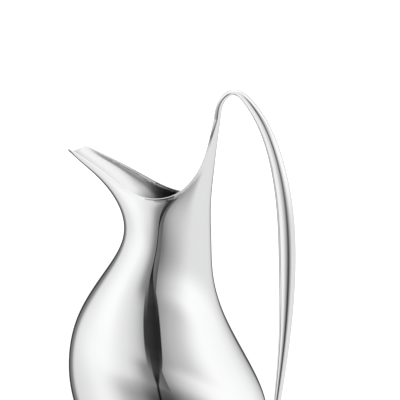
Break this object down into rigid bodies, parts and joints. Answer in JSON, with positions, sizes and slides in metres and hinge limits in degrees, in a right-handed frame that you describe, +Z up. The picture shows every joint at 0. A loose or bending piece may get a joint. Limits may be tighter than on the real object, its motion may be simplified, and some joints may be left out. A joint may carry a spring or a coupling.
{
  "type": "water pitcher",
  "caption": "Polished metal water pitcher: round belly, waisted neck, long trough spout and a tall hollow loop handle.",
  "frame": {"origin": "centre of the bounding box in plan, at the table level under the standing ring", "axes": "+Z up, -X towards the spout, +X towards the handle, mirror plane y = 0"},
  "size_m": [0.1837, 0.1328, 0.2867],
  "materials": {
    "polished_metal": "mirror polished",
    "satin_metal": "satin"
  },
  "bodies": {
    "root": {"body_left_shell": "polished_metal", "body_right_shell": "polished_metal", "base_plate": "satin_metal", "handle_left_shell": "polished_metal", "handle_right_shell": "polished_metal", "handle_top_tenon": "satin_metal", "handle_foot_tenon": "satin_metal"}
  },
  "joints": []
}
